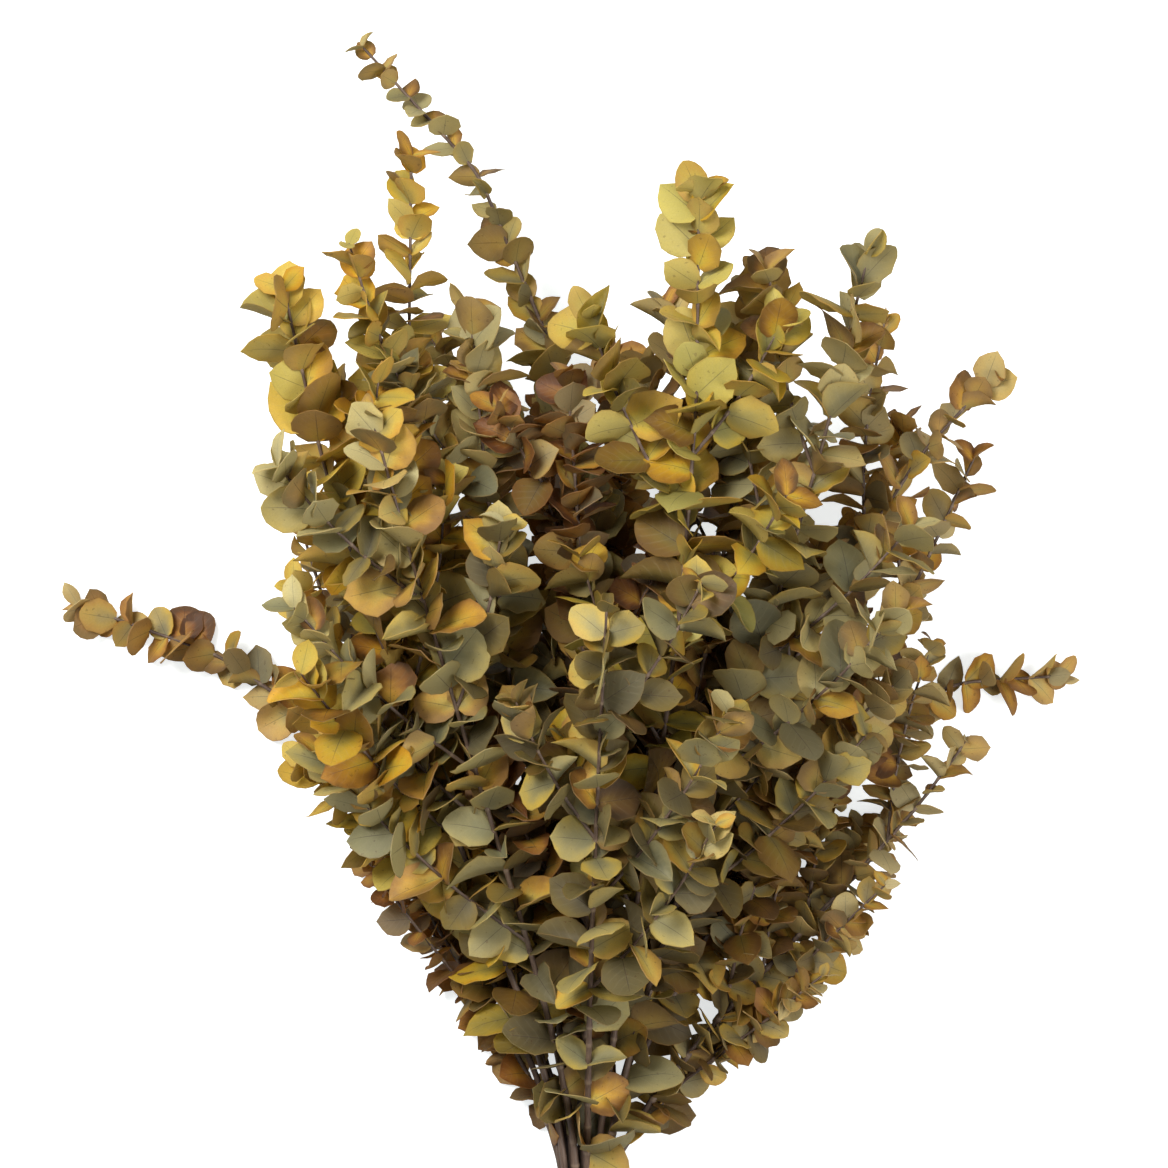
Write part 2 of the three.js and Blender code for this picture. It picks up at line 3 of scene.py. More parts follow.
import math
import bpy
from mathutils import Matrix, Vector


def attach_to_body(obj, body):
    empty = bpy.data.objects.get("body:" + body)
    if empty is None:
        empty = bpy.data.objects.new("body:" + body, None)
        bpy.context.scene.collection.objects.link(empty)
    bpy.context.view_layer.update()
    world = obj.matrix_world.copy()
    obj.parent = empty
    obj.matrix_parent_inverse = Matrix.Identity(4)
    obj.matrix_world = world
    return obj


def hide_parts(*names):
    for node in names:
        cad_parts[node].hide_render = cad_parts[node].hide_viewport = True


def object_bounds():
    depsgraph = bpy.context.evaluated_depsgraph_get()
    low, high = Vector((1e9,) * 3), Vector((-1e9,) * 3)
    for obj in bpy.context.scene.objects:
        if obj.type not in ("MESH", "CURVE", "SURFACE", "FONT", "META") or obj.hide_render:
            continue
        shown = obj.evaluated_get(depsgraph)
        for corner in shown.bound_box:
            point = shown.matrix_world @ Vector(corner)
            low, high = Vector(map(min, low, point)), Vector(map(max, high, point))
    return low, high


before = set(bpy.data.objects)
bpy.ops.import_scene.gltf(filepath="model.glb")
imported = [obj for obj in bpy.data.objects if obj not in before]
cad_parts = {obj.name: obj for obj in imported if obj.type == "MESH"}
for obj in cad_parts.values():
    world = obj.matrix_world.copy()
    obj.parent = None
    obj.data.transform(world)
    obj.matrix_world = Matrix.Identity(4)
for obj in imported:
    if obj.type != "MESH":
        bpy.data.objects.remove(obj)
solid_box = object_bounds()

from types import SimpleNamespace

import bmesh
import bpy
import numpy as np

# ------------------------------------------------------------------------------ the sheet below
# The bunch lies on a large sheet of white paper on a light table, as for a catalogue picture, so
# next to no shadow shows on it. The sheet isn't part of the bunch.


class Amount:
    """A number or colour that varies over a surface. Sums on numbers add Math nodes."""

    def __init__(self, paint, socket):
        self.paint = paint
        self.socket = socket

    def maths(self, operation, *terms):
        return self.paint.node("ShaderNodeMath", {"operation": operation}, dict(enumerate(terms)))

    def __add__(self, other):
        return self.maths("ADD", self, other)

    def __sub__(self, other):
        return self.maths("SUBTRACT", self, other)

    def __rsub__(self, other):
        return self.maths("SUBTRACT", other, self)

    def __mul__(self, other):
        return self.maths("MULTIPLY", self, other)

    __radd__ = __add__

    def __abs__(self):
        return self.maths("ABSOLUTE", self)

    def fraction(self):
        return self.maths("FRACT", self)

    def step(self, low, high):
        """0 below low and 1 above high, with a soft rise between them."""
        values = {"Value": self, "From Min": low, "From Max": high}
        return self.paint.node("ShaderNodeMapRange", {"interpolation_type": "SMOOTHSTEP"}, values)


class Paint:
    """A material and the nodes that make it up."""

    def __init__(self, name):
        self.material = bpy.data.materials.new(name)
        self.material.use_nodes = True
        self.tree = self.material.node_tree
        self.tree.nodes.clear()

    def node(self, kind, settings=None, values=None, outlet=0):
        """A node with its settings, then its sockets' values or links. Gives one of its outlets."""
        made = self.tree.nodes.new(kind)
        for key, value in (settings or {}).items():
            if key == "stops":
                elements = made.color_ramp.elements
                while len(elements) < len(value):
                    elements.new(0.5)
                for element, (position, colour) in zip(elements, value):
                    element.position = position
                    element.color = (*colour, 1)
            else:
                setattr(made, key, value)
        for key, value in (values or {}).items():
            socket = made.inputs[key]
            if isinstance(value, Amount):
                self.tree.links.new(value.socket, socket)
            else:
                socket.default_value = (*value, 1) if socket.type == "RGBA" else value
        return Amount(self, made.outputs[outlet]) if made.outputs else None

    def blend(self, one, other, share, kind="MIX"):
        """Two colours blended by a share from 0 to 1."""
        settings = {"data_type": "RGBA", "blend_type": kind}
        return self.node("ShaderNodeMix", settings, {0: share, 6: one, 7: other}, outlet=2)

    def noise(self, place, scale, detail=3.0, roughness=0.55):
        values = {"Vector": place, "Scale": scale, "Detail": detail, "Roughness": roughness}
        return self.node("ShaderNodeTexNoise", {}, values)

    def bump(self, height, distance, strength):
        values = {"Height": height, "Distance": distance, "Strength": strength}
        return self.node("ShaderNodeBump", {}, values)

    def finish(self, shader):
        self.node("ShaderNodeOutputMaterial", {}, {"Surface": shader})
        return self.material


def set_down():
    """Nothing is selected."""
    if bpy.context.mode != "OBJECT":
        bpy.ops.object.mode_set(mode="OBJECT")
    bpy.ops.object.select_all(action="DESELECT")


paint = Paint("white_paper")
place = paint.node("ShaderNodeTexCoord", outlet="Object")
fibre = paint.noise(place, 260.0, 4.0, 0.7)
looks = {
    "Base Color": paint.blend((0.62, 0.635, 0.635), (0.58, 0.6, 0.6), fibre.step(0.35, 0.75)),
    "Roughness": 0.9,
    "Specular IOR Level": 0.1,
    "Normal": paint.bump(fibre, 0.0001, 0.2),
}
unlit = paint.node("ShaderNodeBsdfPrincipled", {}, looks)
glow = {"Emission Color": (0.97, 1.0, 1.0), "Emission Strength": 0.7}
lit = paint.node("ShaderNodeBsdfPrincipled", {}, {**looks, **glow})
# The lamp under the sheet whitens it to the eye, and hardly lights what lies on it.
seen = paint.node("ShaderNodeLightPath", outlet="Is Camera Ray")
paper = paint.node("ShaderNodeMixShader", {}, {0: seen * 0.85 + 0.15, 1: unlit, 2: lit})
white_paper = paint.finish(paper)

set_down()
bpy.ops.mesh.primitive_grid_add(x_subdivisions=8, y_subdivisions=8, size=9, location=(0, 0, -0.0006))
sheet = bpy.context.object
sheet.name = "paper_sheet"
bpy.ops.object.transform_apply(location=True)
sheet.data.materials.append(white_paper)

# ------------------------------------------------------------------------------ light and view
# Soft light from a wide white room, a broad window above the tips' left and a weaker one at the
# right. The camera hangs over the fan, as high as the width in the picture asks.

world = bpy.data.worlds.new("white_room")
bpy.context.scene.world = world
world.use_nodes = True
room = world.node_tree.nodes["Background"]
room.inputs["Color"].default_value = (0.95, 0.98, 1.0, 1)
# Its walls look white to the eye, and light the bunch with about a third of that.
seen = world.node_tree.nodes.new("ShaderNodeLightPath")
wall = world.node_tree.nodes.new("ShaderNodeMath")
wall.operation = "MULTIPLY_ADD"
GIVEN_LIGHT = 0.3
SEEN_EXTRA = 0.75
wall.inputs[1].default_value = SEEN_EXTRA
wall.inputs[2].default_value = GIVEN_LIGHT
world.node_tree.links.new(seen.outputs["Is Camera Ray"], wall.inputs[0])
world.node_tree.links.new(wall.outputs[0], room.inputs["Strength"])

FAN_MIDDLE = (0, 0, 0.1)
for name, spot, size, power in (
    ("window_left", (-1.0, 1.0, 2.0), 1.1, 86),
    ("window_right", (1.4, -0.5, 1.9), 1.3, 45),
):
    set_down()
    bpy.ops.object.light_add(type="AREA", location=spot)
    lamp = bpy.context.object
    lamp.name = name
    lamp.data.size = size
    lamp.data.energy = power
    lamp.data.color = (1.0, 1.0, 0.985)
    # A lamp shines along its own -Z, so it is turned towards the middle of the fan.
    away = np.array(spot) - np.array(FAN_MIDDLE)
    lamp.rotation_euler = (
        math.acos(away[2] / np.linalg.norm(away)),
        0,
        math.atan2(away[1], away[0]) + math.pi / 2,
    )

set_down()
bpy.ops.object.camera_add(location=(0.0081, 0.06, 2.31), rotation=(0, 0, 0))
camera = bpy.context.object
camera.name = "camera"
camera.data.sensor_width = 36
camera.data.lens = 116
camera.data.clip_end = 40
bpy.context.scene.camera = camera
bpy.context.scene.view_settings.view_transform = "Standard"

# ------------------------------------------------------------------------------ the cut stems
# Twenty thin woody stems, cut with shears at the foot and bundled four layers deep. Each leans
# out of the bundle into its place in the fan and carries up to five side twigs. The bark dried
# dark and a little glossy, with a ring at each joint where a pair of leaves sits.
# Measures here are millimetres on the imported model's own grid, before its middle is taken off.

STEMS = {
    # name: column and layer in the bundle, point that it leans out through, tip, twigs
    "stem_lower_left": (0, 0, (-44, -188), (-128, -106), 2),
    "stem_far_left": (1, 0, (-84, -3), (-298, 42), 2),
    "stem_under": (2, 0, (-4, -74), (-10, 168), 4),
    "stem_far_right": (3, 0, (155, 29), (302, -1), 3),
    "stem_low_right": (4, 0, (120, -208), (176, -158), 3),
    "stem_left": (0, 1, (-113, -94), (-162, 106), 4),
    "stem_long_tip": (1, 1, (74, 240), (-120, 374), 3),
    "stem_back": (2, 1, (45, -50), (30, 194), 4),
    "stem_amber": (3, 1, (186, -24), (244, 130), 4),
    "stem_lower_right": (4, 1, (186, -128), (240, -38), 4),
    "stem_yellow_left": (0, 2, (-112, -10), (-88, 302), 5),
    "stem_olive_left": (1, 2, (-36, -38), (-54, 212), 5),
    "stem_rust": (2, 2, (21, -38), (2, 174), 5),
    "stem_tan_top": (3, 2, (98, -14), (112, 232), 5),
    "stem_tan_right": (4, 2, (162, 106), (252, 178), 4),
    "stem_gold": (0, 3, (-124, -2), (-158, 222), 5),
    "stem_pale_left": (1, 3, (-51, -74), (-108, 150), 5),
    "stem_sage": (2, 3, (15, -134), (24, 40), 4),
    "stem_lemon": (3, 3, (84, -14), (76, 276), 5),
    "stem_olive_right": (4, 3, (126, -2), (172, 242), 5),
}
# The fan's outline, which the twigs keep inside: a height along +Y, then its left and right edge.
OUTLINE = (
    (-270, -22, 76),
    (-200, -60, 150),
    (-122, -112, 196),
    (-50, -160, 236),
    (30, -160, 240),
    (84, -156, 236),
    (118, -160, 206),
    (150, -166, 214),
    (172, -172, 240),
    (215, -166, 190),
    (250, -120, 170),
)
MIDDLE = np.array((3.3, -4.8, 0.0))
STEM_RADII = (2.9, 0.9)
TWIG_RADII = (1.3, 0.7)
BAND_Y = -332.0
BAND_THICKNESS = 1.5
BAND_GAP = 0.3
STEM_GAP = 0.3
PITCH = 2 * STEM_RADII[0] * math.cos(math.pi / 6) + STEM_GAP
LOWEST_STEM_Z = BAND_THICKNESS + BAND_GAP + STEM_RADII[0]
LAYER_TIP_Z = (12, 80, 146, 206)
BUNDLE_X = 12
UP = np.array((0.0, 0.0, 1.0))


def seeded_draws(seed):
    """A repeatable stream of numbers from 0 to 1."""
    state = seed

    def draw():
        nonlocal state
        state = state * 16807 % 2147483647
        return state / 2147483647

    for _ in range(5):
        draw()
    return draw


def between(a, b, share):
    return a + (b - a) * share


def unit(v):
    return v / math.sqrt(v @ v)


def cross(a, b):
    return np.array(
        (a[1] * b[2] - a[2] * b[1], a[2] * b[0] - a[0] * b[2], a[0] * b[1] - a[1] * b[0])
    )


class Path:
    """A run of wood: its points, and how far along it each lies."""

    def __init__(self, points):
        self.points = np.array(points)
        steps = np.linalg.norm(np.diff(self.points, axis=0), axis=1)
        self.reached = np.concatenate(((0.0,), np.cumsum(steps)))
        self.length = self.reached[-1]

    def at(self, distance):
        """The point and the direction at a distance along it."""
        i = 1
        while i < len(self.points) - 1 and self.reached[i] < distance:
            i += 1
        step = self.reached[i] - self.reached[i - 1]
        share = (distance - self.reached[i - 1]) / step
        before, after = self.points[i - 1], self.points[i]
        return between(before, after, share), (after - before) / step

    def every(self, spacing, start=0):
        """Points at even distances along it."""
        count = int((self.length - start) // spacing) + 1
        return np.array([self.at(start + spacing * k)[0] for k in range(count)])


def curve(controls, steps):
    """Points on a smooth curve that the controls pull at, by repeated blending."""
    points = []
    for i in range(steps + 1):
        row = [np.array(c, float) for c in controls]
        while len(row) > 1:
            row = [between(a, b, i / steps) for a, b in zip(row, row[1:])]
        points.append(row[0])
    return points


def place_in_bundle(column, layer):
    """Where a stem stands among the others, seen along the bundle."""
    shift = column - 2 + (layer % 2) / 2 - 0.25
    return BUNDLE_X + shift * PITCH, LOWEST_STEM_Z + layer * PITCH * math.sin(math.pi / 3)


def inside_fan(point):
    i = next((i for i, row in enumerate(OUTLINE) if row[0] > point[1]), -1)
    if i < 1:
        return False
    low, high = OUTLINE[i - 1], OUTLINE[i]
    share = (point[1] - low[0]) / (high[0] - low[0])
    return between(low[1], high[1], share) < point[0] < between(low[2], high[2], share)


# A stem runs straight on out of the bundle for a share of its way, then leans out to its tip.
STRAIGHT_SHARE = 0.19
STRAIGHT_RISE = 0.06
LEAN_HEIGHT = 0.66
# The fan is lower at its sides.
SIDE_DROP = 0.14
SIDE_REACH = 200

grown = []
for i, (name, (column, layer, lean, tip, twigs)) in enumerate(STEMS.items()):
    x, z = place_in_bundle(column, layer)
    tip_z = LAYER_TIP_Z[layer] * (1 - SIDE_DROP * (tip[0] / SIDE_REACH) ** 2)
    start = np.array((x, BAND_Y + 9, z))
    end = np.array((*tip, tip_z))
    reach = math.sqrt((end - start) @ (end - start))
    rise = (x, start[1] + STRAIGHT_SHARE * reach, between(z, tip_z, STRAIGHT_RISE))
    path = Path(curve((start, rise, (*lean, tip_z * LEAN_HEIGHT), end), 7))
    draw = seeded_draws(4100 + 97 * i)
    grown.append(SimpleNamespace(name=name, index=i, path=path, draw=draw, asked=twigs, twigs=[]))

# A twig is turned round its stem until it is clear of all other wood, or left out.
TWIG_SPAN = (0.3, 0.86)
TWIG_REACH = (185, 90)
TWIG_SLANT = 0.66
TWIG_TRIES = 24
WOOD_STEP = 6
BUNDLED_LENGTH = 60
WOOD_HEIGHTS = (5, 226)
CLEAR_GAP = 18
LEAST_GAP = 9

taken = np.concatenate([g.path.every(WOOD_STEP, BUNDLED_LENGTH) for g in grown])
owner = np.concatenate([[g.index] * len(g.path.every(WOOD_STEP, BUNDLED_LENGTH)) for g in grown])
for g in grown:
    for k in range(g.asked):
        share = between(*TWIG_SPAN, (k + g.draw() * 0.7) / g.asked)
        point, way = g.path.at(share * g.path.length)
        reach = between(*TWIG_REACH, share) * between(0.8, 1.2, g.draw())
        side = unit(cross(way, UP))
        over = cross(side, way)
        best, best_gap = None, -1.0
        for _ in range(TWIG_TRIES):
            turn = 2 * math.pi * g.draw()
            out = side * math.cos(turn) + over * (math.sin(turn) * 0.8)
            start = way * math.cos(TWIG_SLANT) + out * math.sin(TWIG_SLANT)
            bend = point + start * (reach * 0.5)
            tip = bend + start * (reach * 0.28) + way * (reach * 0.26)
            twig = Path(curve((point, bend, tip), 3))
            gap = 0.0
            low, high = WOOD_HEIGHTS
            if all(low < p[2] < high for p in twig.points) and inside_fan(tip):
                apart = twig.every(WOOD_STEP)[:, None, :] - taken[None, :, :]
                apart = np.sqrt((apart**2).sum(axis=2))
                # Its first stretch is bound to be close to its own stem.
                at_foot = np.arange(len(apart)) * WOOD_STEP < LEAST_GAP * 2.4
                apart[np.ix_(at_foot, owner == g.index)] = np.inf
                gap = float(apart.min())
            if gap > best_gap:
                best, best_gap = twig, gap
            if gap > CLEAR_GAP:
                break
        if best_gap > LEAST_GAP:
            g.twigs.append(best)
            added = best.every(WOOD_STEP)
            taken = np.concatenate((taken, added))
            owner = np.concatenate((owner, [g.index] * len(added)))

# The joints come a quarter turn apart and closer together towards the tip.
LEAF_LENGTHS = {
    # name: a leaf's length low down and at the tip, and where the leaves begin above the band
    "stem_lower_left": (24, 14, 50),
    "stem_far_left": (33, 21, 100),
    "stem_under": (29, 21, 44),
    "stem_far_right": (30, 18, 110),
    "stem_low_right": (25, 16, 46),
    "stem_left": (28, 18, 110),
    "stem_long_tip": (30, 15, 130),
    "stem_back": (29, 23, 100),
    "stem_amber": (28, 19, 120),
    "stem_lower_right": (26, 17, 56),
    "stem_yellow_left": (30, 23, 130),
    "stem_olive_left": (31, 26, 46),
    "stem_rust": (29, 23, 40),
    "stem_tan_top": (31, 27, 52),
    "stem_tan_right": (28, 20, 120),
    "stem_gold": (33, 30, 110),
    "stem_pale_left": (33, 28, 26),
    "stem_sage": (32, 26, 20),
    "stem_lemon": (33, 28, 90),
    "stem_olive_right": (33, 29, 32),
}


# How much one leaf or one gap between joints differs from the next, as factors.
LENGTH_SPREAD = (0.72, 1.18)
WIDTH_SPREAD = (0.78, 1.04)
YOUNG_SPREAD = (0.55, 0.9)
SPACING_TO_TIP = (1, 0.55)
SPACING_SPREAD = (0.85, 1.15)


def joints_along(path, start, lengths, spacing, radii, draw):
    """The joints of a stem or twig from its foot to its tip, one entry for each leaf."""
    joints = []
    pair = math.floor(draw() * 4)
    s = start
    while s < path.length - 6:
        share = (s - start) / (path.length - start)
        point, way = path.at(s)
        for opposite in (0, math.pi):
            length = between(*lengths, share**2.2) * between(*LENGTH_SPREAD, draw())
            width = length * between(*WIDTH_SPREAD, draw())
            turn = pair * math.pi / 2 + opposite
            thick = between(*radii, s / path.length)
            joints.append(
                SimpleNamespace(
                    point=point, way=way, share=share, length=length, width=width,
                    turn=turn, thick=thick, s=s,
                )
            )
        pair += 1
        s += spacing * between(*SPACING_TO_TIP, share) * between(*SPACING_SPREAD, draw())
    # The tip ends in a pair of young leaves, half closed.
    point, way = path.at(path.length - 0.5)
    for opposite in (0, math.pi):
        length = lengths[1] * between(*YOUNG_SPREAD, draw())
        turn = pair * math.pi / 2 + opposite
        joints.append(
            SimpleNamespace(
                point=point, way=way, share=1.0, length=length, width=length * 0.7,
                turn=turn, thick=radii[1], s=path.length - 0.5,
            )
        )
    return joints


# A twig has closer joints and smaller leaves than its stem, and is bare at its foot.
STEM_SPACING = 17
TWIG_SPACING = 13
TWIG_BARE = 18
TWIG_LEAF = 0.88
for g in grown:
    low, high, bare = LEAF_LENGTHS[g.name]
    g.joints = [joints_along(g.path, bare, (low, high), STEM_SPACING, STEM_RADII, g.draw)]
    for twig in g.twigs:
        lengths = (low * TWIG_LEAF, high * TWIG_LEAF)
        g.joints.append(joints_along(twig, TWIG_BARE, lengths, TWIG_SPACING, TWIG_RADII, g.draw))


def pick(obj, kind, test):
    """In edit mode, selects only the vertices, edges or faces that pass a test."""
    made = bmesh.from_edit_mesh(obj.data)
    for group in (made.verts, made.edges, made.faces):
        for element in group:
            element.select = False
    for element in getattr(made, kind):
        element.select = bool(test(element))
    if kind == "verts":
        made.select_flush(True)
    bmesh.update_edit_mesh(obj.data)


def straight_stick(name, sides, cuts):
    """A straight stick from z = 0 to 1 with a radius of 1, and rings to bend it at."""
    set_down()
    bpy.ops.mesh.primitive_cylinder_add(
        vertices=sides, radius=1, depth=1, end_fill_type="NGON", location=(0, 0, 0.5)
    )
    stick = bpy.context.object
    stick.name = name
    bpy.ops.object.transform_apply(location=True)
    bpy.ops.object.mode_set(mode="EDIT")
    # The shears leave a flat end with a pith and a rim of bark.
    pick(stick, "faces", lambda f: abs(f.normal.z) > 0.9)
    bpy.ops.mesh.inset(thickness=0.22)
    bpy.ops.mesh.inset(thickness=0.45)
    bpy.ops.mesh.poke()
    for cut in cuts:
        pick(stick, "edges", lambda e: abs(e.verts[0].co.z - e.verts[1].co.z) > 1e-5)
        bpy.ops.mesh.subdivide(number_cuts=cut)
    bpy.ops.object.mode_set(mode="OBJECT")
    bpy.ops.object.shade_smooth_by_angle(angle=math.radians(40))
    return stick


def seat_of(mesh):
    """A mesh's vertices as rows of numbers."""
    numbers = np.empty(len(mesh.vertices) * 3)
    mesh.vertices.foreach_get("co", numbers)
    return numbers.reshape(-1, 3)


def set_seat(mesh, points):
    """Puts a mesh's vertices at points on the grid of the tables, in millimetres."""
    mesh.vertices.foreach_set("co", ((points - MIDDLE) * 0.001).ravel())
    mesh.update()


def attach(mesh, name, numbers, kind="FLOAT"):
    """Gives a mesh's vertices a number, or three, that its paint reads by name."""
    data = mesh.attributes.new(name, kind, "POINT").data
    data.foreach_set("vector" if kind == "FLOAT_VECTOR" else "value", np.asarray(numbers).ravel())


# Half the run in which wood rounds a corner, and how far and how much it swells at a joint.
CORNER = 11
JOINT_REACH = 1.7
JOINT_SWELLING = 0.24


def lay_along(stick, path, radii, joints, joints_from):
    """A copy of the straight stick laid along a path, thicker at its joints.

    The joints are measured from a point that lies joints_from along the path.
    """
    copy = stick.copy()
    copy.data = stick.data.copy()
    bpy.context.collection.objects.link(copy)
    straight = seat_of(copy.data)
    distances = straight[:, 2] * path.length
    # At a corner of the path the wood bends over a few millimetres.
    rings, ring_of = np.unique(np.round(straight[:, 2], 6), return_inverse=True)
    ring_s = rings * path.length
    offsets = np.linspace(-CORNER, CORNER, 9)
    reached = [np.clip(ring_s + o, 0, path.length) for o in offsets]
    centre = np.mean(
        [[np.interp(s, path.reached, path.points[:, a]) for a in range(3)] for s in reached], axis=0
    ).T
    ends = (ring_s < CORNER + 0.5) | (ring_s > path.length - (CORNER + 0.5))
    exact = np.array([np.interp(ring_s, path.reached, path.points[:, a]) for a in range(3)]).T
    centre[ends] = exact[ends]
    way = np.gradient(centre, axis=0)
    way /= np.linalg.norm(way, axis=1)[:, None]
    side = np.cross(way, UP)
    side /= np.linalg.norm(side, axis=1)[:, None]
    over = np.cross(side, way)
    share = np.interp(ring_s, path.reached, np.arange(len(path.points)) / (len(path.points) - 1))
    radius = (radii[0] + (radii[1] - radii[0]) * share) * 0.9
    swollen = np.zeros(len(ring_s))
    for s in {round(j.s + joints_from, 4) for j in joints}:
        swollen = np.maximum(swollen, np.exp(-(((ring_s - s) / JOINT_REACH) ** 2)))
    radius *= 1 + JOINT_SWELLING * swollen + 0.03 * np.sin(ring_s * 0.31 + len(joints))
    radius[-1] *= 0.6
    r = radius[ring_of]
    points = (
        centre[ring_of]
        + side[ring_of] * (straight[:, 0] * r)[:, None]
        + over[ring_of] * (straight[:, 1] * r)[:, None]
    )
    set_seat(copy.data, points)
    attach(copy.data, "joint", swollen[ring_of])
    inner = np.hypot(straight[:, 0], straight[:, 1])
    cut = np.where(straight[:, 2] < 1e-6, np.clip((0.98 - inner) / 0.2, 0, 1), 0)
    attach(copy.data, "cut", cut)
    grain = np.stack((straight[:, 0] * r, straight[:, 1] * r, distances), axis=1) * 0.001
    attach(copy.data, "grain", grain, "FLOAT_VECTOR")
    return copy


def join(objects, name):
    """Makes one object of several."""
    set_down()
    for o in objects:
        o.select_set(True)
    bpy.context.view_layer.objects.active = objects[0]
    if len(objects) > 1:
        bpy.ops.object.join()
    objects[0].name = name
    objects[0].data.name = name
    return objects[0]


paint = Paint("dried_bark")
grain = paint.node("ShaderNodeAttribute", {"attribute_name": "grain"}, outlet="Vector")
long_grain = paint.node("ShaderNodeMapping", {}, {"Vector": grain, "Scale": (1, 1, 0.06)})
place = paint.node("ShaderNodeTexCoord", outlet="Object")
joint = paint.node("ShaderNodeAttribute", {"attribute_name": "joint"}, outlet="Fac")
cut = paint.node("ShaderNodeAttribute", {"attribute_name": "cut"}, outlet="Fac")
streaks = paint.noise(long_grain, 2600.0, 4.0, 0.65)
patches = paint.noise(place, 34.0, 3.0)
specks = paint.noise(grain, 1500.0, 2.0).step(0.62, 0.74)
bark = paint.blend((0.05, 0.03, 0.022), (0.12, 0.075, 0.05), streaks.step(0.3, 0.72))
bark = paint.blend(bark, (0.155, 0.105, 0.07), patches.step(0.5, 0.8) * 0.6)
bark = paint.blend(bark, (0.22, 0.155, 0.1), joint.step(0.35, 0.95) * 0.5)
bark = paint.blend(bark, (0.27, 0.2, 0.13), specks * 0.3)
bark = paint.blend(bark, (0.52, 0.4, 0.24), cut)
wood_gloss = paint.node(
    "ShaderNodeBsdfPrincipled",
    {},
    {
        "Base Color": bark,
        "Roughness": 0.42 + streaks * 0.25 + cut * 0.3,
        "Specular IOR Level": 0.45,
        "Normal": paint.bump(streaks + joint * 0.5, 0.00025, 0.5),
    },
)
dried_bark = paint.finish(wood_gloss)

stem_stick = straight_stick("stem_stick", 10, (14, 15))
twig_stick = straight_stick("twig_stick", 8, (7, 6))
for g in grown:
    foot = g.path.points[0].copy()
    foot[1] = BAND_Y - 52 - 9 * math.sin(2.4 * g.index)
    whole = Path([foot, *g.path.points])
    rods = [lay_along(stem_stick, whole, STEM_RADII, g.joints[0], whole.reached[1])]
    for twig, joints in zip(g.twigs, g.joints[1:]):
        rods.append(lay_along(twig_stick, twig, TWIG_RADII, joints, 0.0))
    wood = join(rods, g.name + "_wood")
    wood.data.materials.clear()
    wood.data.materials.append(dried_bark)
    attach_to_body(wood, "root")
    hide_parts(g.name)
for stick in (stem_stick, twig_stick):
    bpy.data.objects.remove(stick)

# ------------------------------------------------------------------------------ the leaves
# Nearly four thousand round, stalkless leaves in opposite pairs, dried leathery: folded along the
# midrib, cupped, uneven at the rim and here and there torn. Each stem's batch took its dye and
# its drying in its own way, so the tone goes by stem, from lemon and gold to sage and rust.

# How the upper side changes as a leaf dries, from grey-green through straw and gold to dark rust.
DRYING = (
    (0.0, (0.12, 0.127, 0.078)),
    (0.2, (0.175, 0.165, 0.082)),
    (0.36, (0.265, 0.225, 0.078)),
    (0.52, (0.38, 0.278, 0.046)),
    (0.66, (0.375, 0.215, 0.026)),
    (0.8, (0.235, 0.116, 0.024)),
    (0.92, (0.13, 0.053, 0.014)),
    (1.0, (0.055, 0.026, 0.011)),
)
BATCHES = {
    # slot: how dry its leaves are, how widely that varies, its dye, and the light that comes through
    "leaf_gold": (0.52, 0.12, (1.45, 1.31, 0.62), (0.93, 0.74, 0.23)),
    "leaf_lemon": (0.46, 0.13, (1.3, 1.24, 0.66), (0.92, 0.79, 0.27)),
    "leaf_sage": (0.31, 0.18, (1.4, 1.34, 1.28), (0.86, 0.76, 0.38)),
    "leaf_olive": (0.33, 0.21, (1.08, 1.05, 1.0), (0.86, 0.7, 0.28)),
    "leaf_tan": (0.51, 0.18, (1.24, 1.15, 1.15), (0.89, 0.68, 0.28)),
    "leaf_amber": (0.58, 0.15, (1.42, 1.34, 1.35), (0.9, 0.61, 0.2)),
    "leaf_rust": (0.71, 0.17, (1.0, 0.9, 0.9), (0.84, 0.49, 0.14)),
}
SLOTS = {
    "stem_lower_left": "leaf_rust",
    "stem_far_left": "leaf_amber",
    "stem_under": "leaf_rust",
    "stem_far_right": "leaf_amber",
    "stem_low_right": "leaf_tan",
    "stem_left": "leaf_tan",
    "stem_long_tip": "leaf_olive",
    "stem_back": "leaf_rust",
    "stem_amber": "leaf_amber",
    "stem_lower_right": "leaf_tan",
    "stem_yellow_left": "leaf_gold",
    "stem_olive_left": "leaf_olive",
    "stem_rust": "leaf_rust",
    "stem_tan_top": "leaf_tan",
    "stem_tan_right": "leaf_tan",
    "stem_gold": "leaf_gold",
    "stem_pale_left": "leaf_sage",
    "stem_sage": "leaf_sage",
    "stem_lemon": "leaf_lemon",
    "stem_olive_right": "leaf_olive",
}


